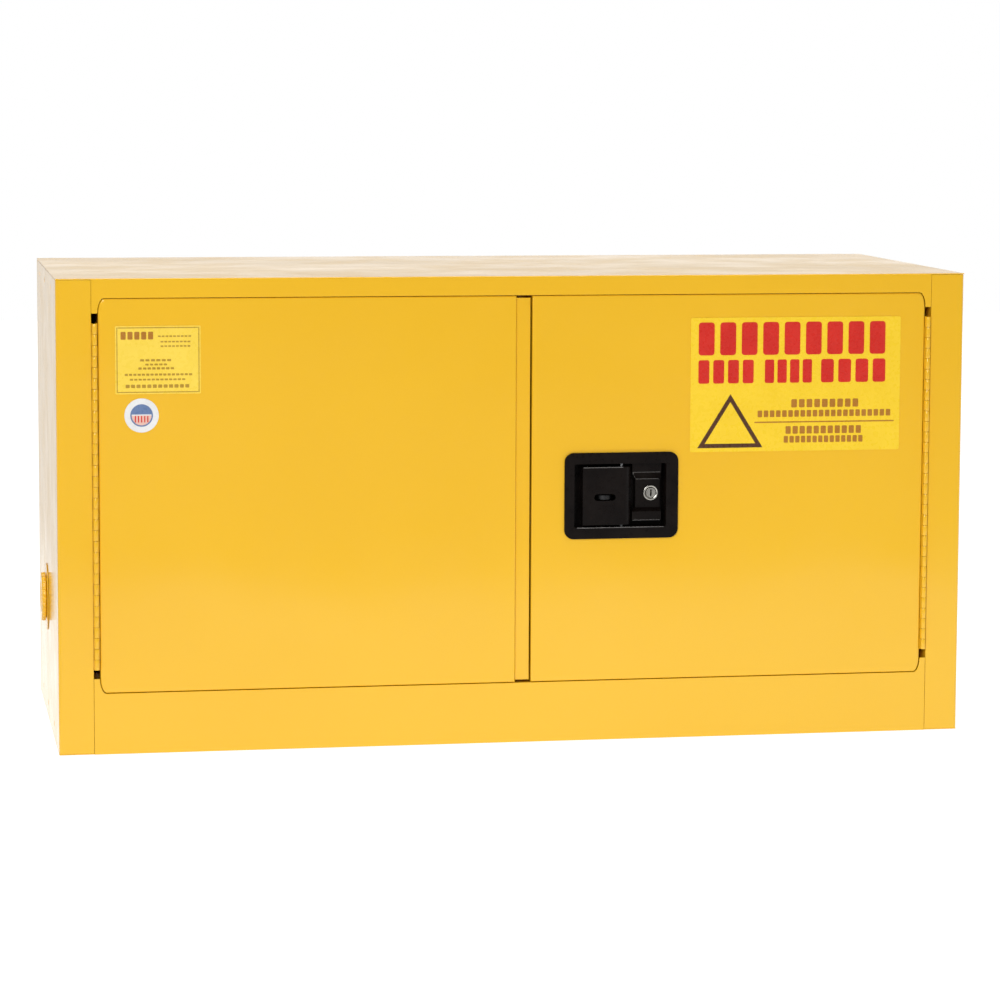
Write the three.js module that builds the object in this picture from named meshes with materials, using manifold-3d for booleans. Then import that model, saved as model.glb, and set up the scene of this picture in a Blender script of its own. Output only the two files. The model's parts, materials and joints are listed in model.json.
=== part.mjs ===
// Bench-top flammable storage cabinet: a double-walled steel box with two doors on piano hinges.
// Millimetres, +Z up. The origin is under the middle of the cabinet, on the surface it stands on.
// Inside the cabinet group x = 0 is the middle, y is the depth behind the front face, z = 0 is the bottom.

import * as THREE from 'three';
import { mergeVertices } from 'three/addons/utils/BufferGeometryUtils.js';
import Module from 'manifold-3d';

const wasm = await Module();
wasm.setup();

// Driving dimensions
const WIDTH = 1092.2;
const DEPTH = 457.2;
const HEIGHT = 558.8;
const SHEET = 1.2;
const AIR_GAP = 38;
const TOUCH = 0.3;
const SEAM = 0.4;
const CORNER_BEND = 4;
const EDGE_BEND = 2;
const WELD_RADIUS = 3.5;
const WELD_DENT = 0.6;
const STILE_WIDTH = 40.8;
const TOP_RAIL_HEIGHT = 22.8;
const BOTTOM_RAIL_HEIGHT = 72;
const SILL_HEIGHT = 90;
const DOOR_GAP = 0.7;
const DOOR_DEPTH = 40.5;
const DOOR_EDGE_INSET = 48.8;
const DOOR_CORNER_RADII = [7, 17];
const DOOR_CORNER_STEPS = 5;
const LEFT_DOOR_END = -4;
const RIGHT_DOOR_END = 15;
const STRIP_END = 13;
const STRIP_RECESS = 3;
const HINGE_INSET = 44.7;
const HINGE_PROUD = 1.2;
const BARREL_RADIUS = 2.9;
const LEAF_OFFSET = 3.6;
const HINGE_PIN_RADIUS = 1.5;
const LEAF_SHEET = 1.5;
const LEAF_DEPTH = 32;
const KNUCKLE_PITCH = 12.7;
const KNUCKLE_COUNT = 32;
const HINGE_BOTTOM = 100.3;
const SHELF_HEIGHT = 256;
const SHELF_LIP = 15;
const HANDLE_CENTRE = [123.8, 295.7];
const HANDLE_FLANGE = [138.6, 103.4];
const HANDLE_RECESS = [112, 76.4];
const RECESS_OFFSET = -1.4;
const TRAY_WALL = 2;
const TRAY_DEPTH = 24;
const ROD_RADIUS = 4;
const HUB_CENTRE = [93.9, 295.7];
const HUB_CRANK = 20;
const HUB_REST_ANGLE = THREE.MathUtils.degToRad(17.5);
const LOCK_CENTRE = [162.3, 297.1];
const SMALL_LABEL = { centre: [-428, 463.8], size: [99.5, 79.5] };
const ROUND_STICKER = { centre: [-447.5, 399.1], radius: 20 };
const FRONT_LABEL = { centre: [337.3, 426.8], size: [259.8, 161.5] };
const LABEL_DEPTHS = [-0.65, -TOUCH];
const BOLT_DEPTHS = [34.4, 36.9];
const BOLT_HALF_HEIGHT = 6.5;
const VENT_DEPTH = 260;
const LEFT_VENT_HEIGHT = 150;
const RIGHT_VENT_HEIGHT = 408;

// Sizes worked out from them
const halfWidth = WIDTH / 2;
const pinY = -HINGE_PROUD;
const frontmost = HINGE_PROUD + BARREL_RADIUS;
const frontFaceY = frontmost - (DEPTH + frontmost) / 2;
const jambDepth = DOOR_DEPTH + 0.5;
const liningFront = DOOR_DEPTH + 1;
const liningSide = SHEET + AIR_GAP;
const liningBack = DEPTH - SHEET - AIR_GAP;
const liningFloor = SHEET + AIR_GAP;
const liningTop = HEIGHT - SHEET - AIR_GAP;
const doorBottom = BOTTOM_RAIL_HEIGHT + DOOR_GAP;
const doorTop = HEIGHT - TOP_RAIL_HEIGHT - DOOR_GAP;
const doorEdge = halfWidth - DOOR_EDGE_INSET;
const frameEdge = halfWidth - STILE_WIDTH;
const rodDepth = 32.1;
const boltHeight = HUB_CENTRE[1] - HUB_CRANK * Math.cos(HUB_REST_ANGLE);

const YELLOW_PAINT = [0xf6bd3c, 0.3, 0];
const GALVANISED = [0xb9bcbc, 0.45, 0.9];
const ZINC_STEEL = [0xa9abad, 0.35, 1];
const CHROME = [0xd8d8d8, 0.12, 1];
const BLACK_ENAMEL = [0x171616, 0.4, 0];
const BLACK_STEEL = [0x2a2a2b, 0.45, 0.8];
const BRASS_GAUZE = [0xa8894a, 0.5, 0.9];
const LABEL_YELLOW = [0xf5d02d, 0.4, 0];
const LABEL_WHITE = [0xeeeeea, 0.4, 0];

// Solids

function toSolid(geometry) {
  const bare = geometry.clone();
  bare.deleteAttribute('normal');
  bare.deleteAttribute('uv');
  const merged = mergeVertices(bare, 1e-4);
  const corners = merged.index.array;
  const kept = [];
  for (let i = 0; i < corners.length; i += 3) {
    const [a, b, c] = corners.slice(i, i + 3);
    if (a !== b && b !== c && c !== a) {
      kept.push(a, b, c);
    }
  }
  return new wasm.Manifold(new wasm.Mesh({
    numProp: 3,
    vertProperties: merged.attributes.position.array,
    triVerts: Uint32Array.from(kept),
  }));
}

function toGeometry(solid) {
  const mesh = solid.getMesh();
  const geometry = new THREE.BufferGeometry();
  geometry.setAttribute('position', new THREE.BufferAttribute(mesh.vertProperties, 3));
  geometry.setIndex(new THREE.BufferAttribute(mesh.triVerts, 1));
  geometry.computeVertexNormals();
  return geometry;
}

const X = new THREE.Vector3(1, 0, 0);
const Y = new THREE.Vector3(0, 1, 0);
const Z = new THREE.Vector3(0, 0, 1);
const outlinePlanes = {
  x: new THREE.Matrix4().makeBasis(Y, Z, X),
  y: new THREE.Matrix4().makeBasis(X, Z, Y.clone().negate()),
  z: new THREE.Matrix4(),
};

function shapeOf(outline) {
  return new THREE.Shape(outline.map(([a, b]) => new THREE.Vector2(a, b)));
}

// A straight bar along one axis. Its outline is given as (y, z), (x, z) or (x, y) for the x, y or z axis.
function bar(axis, outline, from, to) {
  const shape = shapeOf(outline);
  const low = Math.min(from, to);
  const high = Math.max(from, to);
  const geometry = new THREE.ExtrudeGeometry(shape, { depth: high - low, bevelEnabled: false });
  geometry.translate(0, 0, axis === 'y' ? -high : low);
  geometry.applyMatrix4(outlinePlanes[axis]);
  return toSolid(geometry);
}

// A bar along y whose edges round the outline are bent round at its front end.
function bentFrontBar(outline, front, back) {
  const shape = shapeOf(offsetPath(outline, EDGE_BEND, true));
  const geometry = new THREE.ExtrudeGeometry(shape, {
    depth: back - front,
    bevelThickness: EDGE_BEND,
    bevelSize: EDGE_BEND,
    bevelSegments: 3,
  });
  geometry.translate(0, 0, -back - EDGE_BEND);
  geometry.applyMatrix4(outlinePlanes.y);
  const margin = 2 * EDGE_BEND;
  const beyond = bar('y', offsetPath(outline, -margin, true), back, back + margin);
  return toSolid(geometry).subtract(beyond);
}

// What is cut away to round a long edge that runs along x, at the front of a sheet's top.
function topFrontRounding() {
  const centre = [EDGE_BEND, HEIGHT - EDGE_BEND];
  const outline = [
    ...arc(centre, EDGE_BEND, 90, 180, 4),
    [-1, HEIGHT - EDGE_BEND],
    [-1, HEIGHT + 1],
    [EDGE_BEND, HEIGHT + 1],
  ];
  return bar('x', outline, -halfWidth - 1, halfWidth + 1);
}

function block([x0, x1], [y0, y1], [z0, z1]) {
  const geometry = new THREE.BoxGeometry(Math.abs(x1 - x0), y1 - y0, z1 - z0);
  geometry.translate((x0 + x1) / 2, (y0 + y1) / 2, (z0 + z1) / 2);
  return toSolid(geometry);
}

function arc([cx, cy], radius, startDegrees, endDegrees, steps) {
  const points = [];
  for (let i = 0; i <= steps; i += 1) {
    const angle = THREE.MathUtils.degToRad(startDegrees + (endDegrees - startDegrees) * (i / steps));
    points.push([cx + radius * Math.cos(angle), cy + radius * Math.sin(angle)]);
  }
  return points;
}

function circle(centre, radius, sides) {
  return arc(centre, radius, 0, 360, sides).slice(0, sides);
}

function rounded([cx, cy], [width, height], radius, steps = 4) {
  const a = width / 2 - radius;
  const b = height / 2 - radius;
  return [
    ...arc([cx + a, cy + b], radius, 0, 90, steps),
    ...arc([cx - a, cy + b], radius, 90, 180, steps),
    ...arc([cx - a, cy - b], radius, 180, 270, steps),
    ...arc([cx + a, cy - b], radius, 270, 360, steps),
  ];
}

function rectangle([x0, x1], [y0, y1]) {
  return [[x0, y0], [x1, y0], [x1, y1], [x0, y1]];
}

// The same path moved sideways to its left by a distance, with mitred corners.
function offsetPath(path, distance, closed) {
  const count = path.length;
  const leftOf = (i) => {
    const [ax, ay] = path[i % count];
    const [bx, by] = path[(i + 1) % count];
    const length = Math.hypot(bx - ax, by - ay);
    return [-(by - ay) / length, (bx - ax) / length];
  };
  return path.map(([x, y], i) => {
    const before = closed ? (i + count - 1) % count : Math.max(i - 1, 0);
    const after = closed ? i : Math.min(i, count - 2);
    const [ax, ay] = leftOf(before);
    const [bx, by] = leftOf(after);
    const scale = distance / (1 + ax * bx + ay * by);
    return [x + (ax + bx) * scale, y + (ay + by) * scale];
  });
}

// The section of a folded sheet, from the path of its outer face; the sheet lies to the path's left.
function foldedSheet(outerFace, thickness) {
  return [...outerFace, ...offsetPath(outerFace, thickness, false).reverse()];
}

function addPiece(parent, name, shape, [color, roughness, metalness], position = [0, 0, 0]) {
  const geometry = shape.isBufferGeometry ? shape : toGeometry(shape);
  const mesh = new THREE.Mesh(geometry, new THREE.MeshStandardMaterial({ color, roughness, metalness }));
  mesh.name = name;
  mesh.position.set(...position);
  parent.add(mesh);
}

// Outer shell

// side is -1 for the left panel and 1 for the right one.
function outerSidePanel(side, ventHeight) {
  const facing = (inset) => side * (halfWidth - inset);
  const outerFace = [
    [20, DEPTH - SHEET - TOUCH],
    [0, DEPTH - SHEET - TOUCH],
    ...arc([CORNER_BEND, CORNER_BEND], CORNER_BEND, 180, 270, 5),
    [STILE_WIDTH, 0],
    [STILE_WIDTH, jambDepth],
  ];
  const section = foldedSheet(outerFace, SHEET).map(([inset, depth]) => [facing(inset), depth]);
  let panel = bar('z', section, SHEET + TOUCH, HEIGHT - SHEET - SEAM);
  for (const depth of [110, 255, 375]) {
    for (const height of [18, HEIGHT - 16]) {
      const dent = circle([depth, height], WELD_RADIUS, 12);
      panel = panel.subtract(bar('x', dent, facing(-5), facing(WELD_DENT)));
    }
  }
  return panel.subtract(bar('x', circle([VENT_DEPTH, ventHeight], 26, 32), facing(-5), facing(5)));
}

// A quarter of an ellipse from the hinge edge to the top or bottom edge, as [inset, rise] pairs of the corner
// between the two edges. grow moves it outwards.
function doorCorner(grow) {
  const [across, up] = DOOR_CORNER_RADII;
  return arc([0, 0], 1, 0, 90, DOOR_CORNER_STEPS).map(([c, s]) => [
    across - (across + grow) * c,
    up - (up + grow) * s,
  ]);
}

// The plate of a frame rail, with an ear at each end that fills the rounded corner of the door.
// inwards is 1 where the doors lie above the rail and -1 where they lie below it.
function railPlate(outerEdge, innerEdge, inwards) {
  const doorSide = innerEdge + inwards * DOOR_GAP;
  const ear = doorCorner(DOOR_GAP).map(([inset, rise]) => [doorEdge - inset, doorSide + inwards * rise]);
  const half = [
    [frameEdge - SEAM, outerEdge],
    [frameEdge - SEAM, ear[0][1]],
    ...ear,
  ];
  const otherHalf = half.map(([x, z]) => [-x, z]).reverse();
  return bar('y', [...half, ...otherHalf], 0, SHEET);
}

function outerTopPanel() {
  const railEdge = HEIGHT - TOP_RAIL_HEIGHT;
  const jambHalf = doorEdge - 8;
  const sheet = block([-halfWidth, halfWidth], [0, DEPTH], [HEIGHT - SHEET, HEIGHT]);
  const rail = railPlate(HEIGHT - SHEET / 2, railEdge, -1);
  const jamb = block([-jambHalf, jambHalf], [SHEET / 2, jambDepth], [railEdge, railEdge + SHEET]);
  const folded = sheet.add(rail).add(jamb).subtract(topFrontRounding());
  return folded.subtract(rodHole(-1, railEdge - 5, railEdge + 5, 5.5));
}

function bottomRail() {
  const jambHalf = doorEdge - 8;
  const rail = railPlate(0, BOTTOM_RAIL_HEIGHT, 1);
  const jambTop = BOTTOM_RAIL_HEIGHT;
  const jamb = block([-jambHalf, jambHalf], [SHEET / 2, jambDepth], [jambTop - SHEET, jambTop]);
  return rail.add(jamb).subtract(rodHole(1, jambTop - 5, jambTop + 5, 5.5));
}

function addOuterShell(parent) {
  addPiece(parent, 'outer_left_panel', outerSidePanel(-1, LEFT_VENT_HEIGHT), YELLOW_PAINT);
  const groundHole = bar('x', circle([420, 60], 3.4, 12), halfWidth - 5, halfWidth + 5);
  const rightPanel = outerSidePanel(1, RIGHT_VENT_HEIGHT).subtract(groundHole);
  addPiece(parent, 'outer_right_panel', rightPanel, YELLOW_PAINT);
  addPiece(parent, 'outer_top_panel', outerTopPanel(), YELLOW_PAINT);
  addPiece(parent, 'bottom_rail', bottomRail(), YELLOW_PAINT);
  const underside = block([-halfWidth, halfWidth], [SHEET + TOUCH, DEPTH], [0, SHEET]);
  addPiece(parent, 'outer_bottom_panel', underside, YELLOW_PAINT);
  const backWidth = [-halfWidth + 0.5, halfWidth - 0.5];
  const back = block(backWidth, [DEPTH - SHEET, DEPTH], [SHEET + TOUCH, HEIGHT - SHEET - TOUCH]);
  addPiece(parent, 'outer_back_panel', back, YELLOW_PAINT);
}

// Inner lining

function innerSidePanel(side, ventHeight) {
  const face = side * (halfWidth - liningSide);
  const across = [face, face - side * SHEET];
  const panel = block(across, [liningFront, liningBack - TOUCH], [liningFloor, liningTop - SHEET - TOUCH]);
  return panel.subtract(bar('x', circle([VENT_DEPTH, ventHeight], 26, 32), face - 5, face + 5));
}

function innerTopPanel() {
  const half = halfWidth - liningSide;
  const sheet = block([-half, half], [liningFront, liningBack + SHEET], [liningTop - SHEET, liningTop]);
  const stopHeight = HEIGHT - TOP_RAIL_HEIGHT - 0.2;
  const doorStop = block([-half, half], [liningFront, liningFront + SHEET], [liningTop - SHEET, stopHeight]);
  return sheet.add(doorStop);
}

// An open box of sheet: outline outside, open at one end of the axis.
function openPan(axis, outline, closedEnd, openEnd) {
  const inward = Math.sign(openEnd - closedEnd);
  const inner = offsetPath(outline, SHEET, true);
  const body = bar(axis, outline, closedEnd, openEnd);
  return body.subtract(bar(axis, inner, closedEnd + inward * SHEET, openEnd + inward * 5));
}

function addLining(parent) {
  const half = halfWidth - liningSide - SHEET - TOUCH;
  addPiece(parent, 'inner_left_panel', innerSidePanel(-1, LEFT_VENT_HEIGHT), YELLOW_PAINT);
  addPiece(parent, 'inner_right_panel', innerSidePanel(1, RIGHT_VENT_HEIGHT), YELLOW_PAINT);
  addPiece(parent, 'inner_top_panel', innerTopPanel(), YELLOW_PAINT);
  const backHalf = halfWidth - liningSide;
  const backUpright = [liningFloor, liningTop - SHEET - TOUCH];
  const back = block([-backHalf, backHalf], [liningBack, liningBack + SHEET], backUpright);
  addPiece(parent, 'inner_back_panel', back, YELLOW_PAINT);
  const basin = rectangle([-half, half], [liningFront, liningBack - TOUCH]);
  addPiece(parent, 'sill_pan', openPan('z', basin, liningFloor, SILL_HEIGHT), YELLOW_PAINT);
}

// Shelf and its two brackets

function shelfBracket(side) {
  const wall = halfWidth - liningSide - SHEET - TOUCH;
  const top = SHELF_HEIGHT - TOUCH;
  const outerFace = [[wall - 21, top], [wall, top], [wall, top - 21]];
  const section = foldedSheet(outerFace, -LEAF_SHEET).map(([x, z]) => [side * x, z]);
  return bar('y', section, 70, 390);
}

function addShelf(parent) {
  const half = halfWidth - liningSide - SHEET - 3;
  const tray = rectangle([-half, half], [50, liningBack - 5]);
  const shelfTop = SHELF_HEIGHT + SHELF_LIP;
  addPiece(parent, 'shelf', openPan('z', tray, SHELF_HEIGHT, shelfTop), GALVANISED);
  addPiece(parent, 'left_shelf_bracket', shelfBracket(-1), GALVANISED);
  addPiece(parent, 'right_shelf_bracket', shelfBracket(1), GALVANISED);
}

// Doors

// Clearance for a latch rod, which runs side * HUB_CRANK from the hub's centre.
function rodHole(side, from, to, radius) {
  return bar('z', circle([HUB_CENTRE[0] + side * HUB_CRANK, rodDepth], radius, 20), from, to);
}

function boltSlot(from, to, margin) {
  const across = [BOLT_DEPTHS[0] - margin, BOLT_DEPTHS[1] + margin];
  const reach = BOLT_HALF_HEIGHT + margin;
  const upright = [boltHeight - reach, boltHeight + reach];
  return block([from, to], across, upright);
}

// side is the hinge side: -1 for the left door, 1 for the right one. freeEdge is the x of the other edge.
function doorOutline(side, freeEdge, inset) {
  const corner = doorCorner(0);
  const outline = [
    ...corner.map(([across, rise]) => [side * (doorEdge - across), doorBottom + rise]),
    [freeEdge, doorBottom],
    [freeEdge, doorTop],
    ...corner.map(([across, rise]) => [side * (doorEdge - across), doorTop - rise]).reverse(),
  ];
  const turned = side < 0 ? outline : outline.reverse();
  return offsetPath(turned, inset, true);
}

function doorPan(side, freeEdge) {
  const body = bentFrontBar(doorOutline(side, freeEdge, 0), 0, DOOR_DEPTH - SHEET - TOUCH);
  return body.subtract(bar('y', doorOutline(side, freeEdge, SHEET), SHEET, DOOR_DEPTH));
}

function doorInnerPanel(side, freeEdge) {
  return openPan('y', doorOutline(side, freeEdge, SHEET + TOUCH), DOOR_DEPTH, DOOR_DEPTH - 13);
}

function centreStrip() {
  const start = LEFT_DOOR_END + TOUCH;
  const outerFace = [[start, STRIP_RECESS + 19], [start, STRIP_RECESS], [STRIP_END, STRIP_RECESS]];
  return bar('z', foldedSheet(outerFace, SHEET), doorBottom + 2.5, doorTop - 2.5);
}

// A channel on the edge of the left door that takes the centre bolt.
function centreStrike() {
  const start = LEFT_DOOR_END + TOUCH;
  const outerFace = [[start, 25], [start, 40.2], [STRIP_END - 0.9, 40.2], [STRIP_END - 0.9, 25]];
  const channel = bar('z', foldedSheet(outerFace, -LEAF_SHEET), boltHeight - 14, boltHeight + 14);
  return channel.subtract(boltSlot(STRIP_END - 4, STRIP_END + 1, 1));
}

function addLeftDoor(parent) {
  addPiece(parent, 'left_door_pan', doorPan(-1, LEFT_DOOR_END), YELLOW_PAINT);
  addPiece(parent, 'left_door_inner_panel', doorInnerPanel(-1, LEFT_DOOR_END), YELLOW_PAINT);
  addPiece(parent, 'centre_strip', centreStrip(), YELLOW_PAINT);
  addPiece(parent, 'centre_strike', centreStrike(), ZINC_STEEL);
  const plate = rounded(SMALL_LABEL.centre, SMALL_LABEL.size, 2, 2);
  const disc = circle(ROUND_STICKER.centre, ROUND_STICKER.radius, 32);
  addPiece(parent, 'small_label', bar('y', plate, ...LABEL_DEPTHS), LABEL_WHITE);
  addPiece(parent, 'round_sticker', bar('y', disc, ...LABEL_DEPTHS), LABEL_WHITE);
}

function addRightDoor(parent) {
  const recess = [HANDLE_RECESS[0] + 2 * TRAY_WALL + 1, HANDLE_RECESS[1] + 2 * TRAY_WALL + 1];
  const cutoutCentre = [HANDLE_CENTRE[0] + RECESS_OFFSET, HANDLE_CENTRE[1]];
  const handleCutout = bar('y', rounded(cutoutCentre, recess, 2, 2), -5, 10);
  const openings = [
    rodHole(-1, doorTop - 10, doorTop + 5, 5),
    rodHole(1, doorBottom - 5, doorBottom + 10, 5),
    boltSlot(RIGHT_DOOR_END - 5, RIGHT_DOOR_END + 10, 0.8),
  ];
  let pan = doorPan(1, RIGHT_DOOR_END).subtract(handleCutout);
  let innerPanel = doorInnerPanel(1, RIGHT_DOOR_END);
  for (const opening of openings) {
    pan = pan.subtract(opening);
    innerPanel = innerPanel.subtract(opening);
  }
  addPiece(parent, 'right_door_pan', pan, YELLOW_PAINT);
  addPiece(parent, 'right_door_inner_panel', innerPanel, YELLOW_PAINT);
  const plate = rounded(FRONT_LABEL.centre, FRONT_LABEL.size, 4, 3);
  addPiece(parent, 'front_label', bar('y', plate, ...LABEL_DEPTHS), LABEL_YELLOW);
}

// Piano hinges, each about its own pin axis, with the bottom of the barrel at z = 0

const barrelLength = KNUCKLE_COUNT * KNUCKLE_PITCH;

// side is the side of the pin that the leaf lies on; firstKnuckle is 0 or 1, and every second one follows.
function hingeLeaf(side, firstKnuckle) {
  const plateInside = side * (LEAF_OFFSET - LEAF_SHEET);
  const plateOutside = side * LEAF_OFFSET;
  const plateStart = BARREL_RADIUS + 0.4;
  const neckStart = 0.7;
  const gap = 0.2;
  let leaf = block([plateInside, plateOutside], [plateStart, LEAF_DEPTH + HINGE_PROUD], [0, barrelLength]);
  for (let i = firstKnuckle; i < KNUCKLE_COUNT; i += 2) {
    const low = i * KNUCKLE_PITCH + gap;
    const high = (i + 1) * KNUCKLE_PITCH - gap;
    const curl = bar('z', circle([0, 0], BARREL_RADIUS, 12), low, high);
    const neck = block([side * neckStart, plateOutside], [BARREL_RADIUS - 1, plateStart + 1], [low, high]);
    leaf = leaf.add(curl).add(neck);
  }
  return leaf.subtract(bar('z', circle([0, 0], HINGE_PIN_RADIUS + TOUCH, 8), -1, barrelLength + 1));
}

function addHinge(parent, sideName, side) {
  const place = [side * (halfWidth - HINGE_INSET), pinY, HINGE_BOTTOM];
  const pin = bar('z', circle([0, 0], HINGE_PIN_RADIUS, 8), 0.5, barrelLength - 0.5);
  addPiece(parent, `${sideName}_frame_leaf`, hingeLeaf(side, 0), YELLOW_PAINT, place);
  addPiece(parent, `${sideName}_door_leaf`, hingeLeaf(-side, 1), YELLOW_PAINT, place);
  addPiece(parent, `${sideName}_hinge_pin`, pin, YELLOW_PAINT, place);
}

// Paddle latch, about the handle's centre in x and z

const paddlePivot = [2.4, 9.7];
const paddleFront = -1.5;
const paddleSheet = 3;
const paddleLeft = -47;
const paddleHeight = [-35.5, 34.3];
const stapleCentre = [-19.9, -2.2];
const springSpan = [-8, 8];
const lockFace = { left: 20, right: 50, depth: 12, low: -16.4, high: 18 };
const ledge = { left: 14.4, depth: 4, lowInner: -20.5, lowOuter: -31, highInner: 27 };

// The block that carries the key lock: its face is sunk, with a sloped ledge above it and one below it.
function lockBlock() {
  const top = HANDLE_RECESS[1] / 2 + 0.5;
  const floor = TRAY_DEPTH + 1;
  const profile = [
    [floor, ledge.lowOuter],
    [ledge.depth, ledge.lowOuter],
    [ledge.depth, ledge.lowInner],
    [lockFace.depth, lockFace.low],
    [lockFace.depth, lockFace.high],
    [ledge.depth, ledge.highInner],
    [ledge.depth, top],
    [floor, top],
  ];
  const paddleRoom = [
    [ledge.left - 10, ledge.highInner],
    [ledge.left, ledge.highInner],
    [lockFace.left, lockFace.high],
    [lockFace.left, lockFace.low],
    [ledge.left, ledge.lowInner],
    [ledge.left - 10, ledge.lowInner],
  ];
  return bar('x', profile, ledge.left, lockFace.right).subtract(bar('y', paddleRoom, -5, TRAY_DEPTH));
}

function handleTray() {
  const outerRecess = HANDLE_RECESS.map((size) => size + 2 * TRAY_WALL);
  const flange = bar('y', rounded([0, 0], HANDLE_FLANGE, 11, 8), -2.5, -TOUCH);
  const tub = bar('y', rounded([RECESS_OFFSET, 0], outerRecess, 3, 3), -1, TRAY_DEPTH + TRAY_WALL);
  const hollow = bar('y', rounded([RECESS_OFFSET, 0], HANDLE_RECESS, 2, 3), -10, TRAY_DEPTH);
  const lockX = LOCK_CENTRE[0] - HANDLE_CENTRE[0];
  const lockZ = LOCK_CENTRE[1] - HANDLE_CENTRE[1];
  const pinHole = bar('z', circle(paddlePivot, 2.4, 12), -60, 60);
  const lockHole = bar('y', circle([lockX, lockZ], 8.6, 32), 0, 40);
  return flange.add(tub).subtract(hollow).add(lockBlock()).subtract(pinHole).subtract(lockHole);
}

// A plate with its right edge curled round the pin and its left edge turned back as a finger pull.
function paddle() {
  const [pivotX, pivotY] = paddlePivot;
  const back = paddleFront + paddleSheet;
  const pull = paddleLeft + 2.5;
  const curl = arc(paddlePivot, pivotY - paddleFront, -90, 150, 20);
  const fingerPull = [[pull, back], [pull, 6], [paddleLeft, 6]];
  const section = [[paddleLeft, paddleFront], ...curl, [pivotX - 8, back], ...fingerPull];
  const slot = bar('y', rounded(stapleCentre, [26, 8], 3.9, 6), -10, 20);
  const bore = bar('z', circle(paddlePivot, 2.3, 12), -60, 60);
  const springWindow = block([pivotX - 10, pivotX + 12], [back, TRAY_DEPTH], springSpan);
  return bar('z', section, ...paddleHeight).subtract(slot).subtract(bore).subtract(springWindow);
}

// A coil round the paddle's pin, with one straight tail that rests on the floor of the tray.
class CoilPath extends THREE.Curve {
  getPoint(t, target = new THREE.Vector3()) {
    const turns = 6;
    const radius = 3.6;
    const tailLength = TRAY_DEPTH - paddlePivot[1] - 0.8;
    const coiled = Math.min(t / 0.9, 1);
    const angle = coiled * turns * 2 * Math.PI;
    const tail = Math.max(t - 0.9, 0) / 0.1;
    const along = springSpan[0] + 1.5 + coiled * (springSpan[1] - springSpan[0] - 3);
    return target.set(radius * Math.cos(angle), radius * Math.sin(angle) + tail * tailLength, along);
  }
}

function paddleSpring() {
  const wire = new THREE.Shape(circle([0, 0], 0.5, 6).map(([a, b]) => new THREE.Vector2(a, b)));
  const geometry = new THREE.ExtrudeGeometry(wire, { steps: 70, extrudePath: new CoilPath() });
  return toSolid(geometry);
}

function padlockStaple() {
  const nose = arc([0, 6.8], 9, -180, 0, 10);
  const tongue = bar('z', [...nose, [9, TRAY_DEPTH - TOUCH], [-9, TRAY_DEPTH - TOUCH]], -2.5, 2.5);
  return tongue.subtract(bar('z', circle([0, 7], 4, 16), -5, 5));
}

function addPaddleLatch(parent) {
  const [x, z] = HANDLE_CENTRE;
  const latch = new THREE.Group();
  latch.position.set(x, 0, z);
  parent.add(latch);
  const pinEnd = HANDLE_RECESS[1] / 2 + TRAY_WALL;
  addPiece(latch, 'handle_tray', handleTray(), BLACK_ENAMEL);
  addPiece(latch, 'paddle', paddle(), BLACK_ENAMEL);
  addPiece(latch, 'paddle_pin', bar('z', circle(paddlePivot, 2, 12), -pinEnd, pinEnd), ZINC_STEEL);
  addPiece(latch, 'paddle_spring', paddleSpring(), ZINC_STEEL, [...paddlePivot, 0]);
  const [stapleX, stapleZ] = stapleCentre;
  addPiece(latch, 'padlock_staple', padlockStaple(), BLACK_STEEL, [stapleX, 0, stapleZ]);
}

// Key lock, about its own axis

function revolved(profile, sides) {
  const points = profile.map(([radius, depth]) => new THREE.Vector2(radius, depth));
  return toSolid(new THREE.LatheGeometry(points, sides));
}

function addKeyLock(parent) {
  const lock = new THREE.Group();
  lock.position.set(LOCK_CENTRE[0], 0, LOCK_CENTRE[1]);
  parent.add(lock);
  const body = revolved([
    [6.3, 9.4], [8.6, 9.4], [9.4, 10], [9.4, 11.7], [8, 11.7], [8, 30], [6.3, 30], [6.3, 9.4],
  ], 36);
  addPiece(lock, 'lock_body', body, CHROME);
  const barrel = bar('y', circle([0, 0], 6, 32), 9, 33.5);
  const keyway = block([-1, 1], [8, 28], [-4, 4]);
  addPiece(lock, 'key_plug', barrel.subtract(keyway), CHROME);
  const armOutline = [...arc([0, 0], 9.5, 0, 180, 8), ...arc([0, -20], 6, 180, 360, 6)];
  const cam = bar('y', armOutline, 30.6, 33).subtract(bar('y', circle([0, 0], 6.3, 20), 30, 34));
  addPiece(lock, 'lock_cam', cam, ZINC_STEEL);
}

// Three-point latch inside the right door, with its rods drawn in

const hubPlate = [28, 30];
const tabDepth = [30.6, 33.6];

// The place of a crank pin at rest; angle is where the pin lies half way through the throw.
function crankPin(angleDegrees) {
  const angle = THREE.MathUtils.degToRad(angleDegrees) + HUB_REST_ANGLE;
  return [HUB_CRANK * Math.cos(angle), HUB_CRANK * Math.sin(angle)];
}

function latchHub() {
  let hub = bar('y', circle([0, 0], 24, 32), ...hubPlate);
  hub = hub.add(bar('y', circle(crankPin(180), 2, 12), 29, 35));
  hub = hub.add(bar('y', circle(crankPin(0), 2, 12), 29, 35));
  hub = hub.add(bar('y', circle(crankPin(270), 2, 12), 29, 38));
  return hub.subtract(bar('y', circle([0, 0], 3.3, 12), 20, 40));
}

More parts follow.
